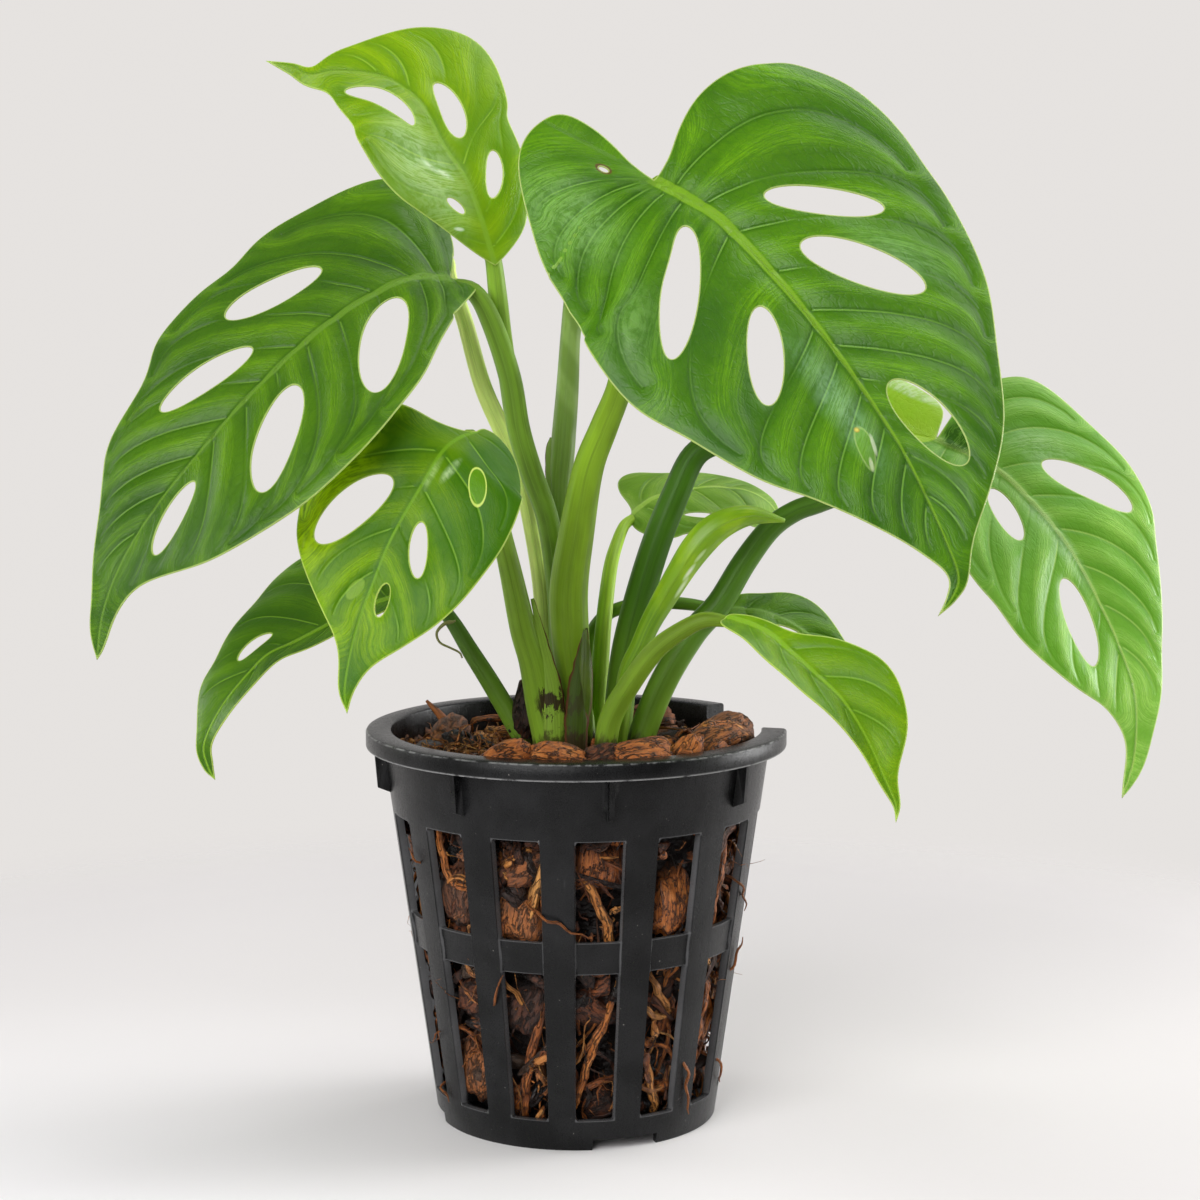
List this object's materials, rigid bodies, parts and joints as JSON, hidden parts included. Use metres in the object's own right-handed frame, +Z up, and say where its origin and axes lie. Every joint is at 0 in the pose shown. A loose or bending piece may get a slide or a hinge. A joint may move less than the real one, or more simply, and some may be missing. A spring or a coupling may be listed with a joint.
{
  "type": "potted Swiss cheese vine",
  "caption": "Swiss cheese vine with pierced heart-shaped leaves on long stalks, growing in a slotted black nursery pot filled with coconut husk chips.",
  "frame": {"origin": "centre of the pot's foot, on the surface that it stands on", "axes": "+Z up along the pot's axis, -Y towards the viewer's side that the large leaves face, +X towards the far right leaf"},
  "size_m": [0.29, 0.1644, 0.3088],
  "materials": {
    "pot": "moulded charcoal black plastic, semi-matte, scuffed silvery on its edges",
    "potting_mix": "fibrous brown coconut husk, matte",
    "mature_leaf": "mid-green living leaf, waxy sheen, paler veins and margin",
    "dark_leaf": "dark green living leaf, waxy sheen, paler veins and margin",
    "young_leaf": "bright yellow-green young leaf, glossy, thin pale margin"
  },
  "bodies": {
    "root": {"pot": "pot", "potting_mix": "potting_mix", "leaf_large_right": "mature_leaf", "leaf_large_left": "dark_leaf", "leaf_young_top": "young_leaf", "leaf_small_front": "young_leaf", "leaf_low_left": "dark_leaf", "leaf_far_right": "mature_leaf", "leaf_small_back": "mature_leaf", "leaf_low_right": "young_leaf", "leaf_low_back": "dark_leaf", "leaf_turned_right": "dark_leaf", "leaf_turned_left": "mature_leaf", "leaf_rolled": "young_leaf", "leaf_spear": "mature_leaf", "sheath_scale": "young_leaf"}
  },
  "joints": []
}
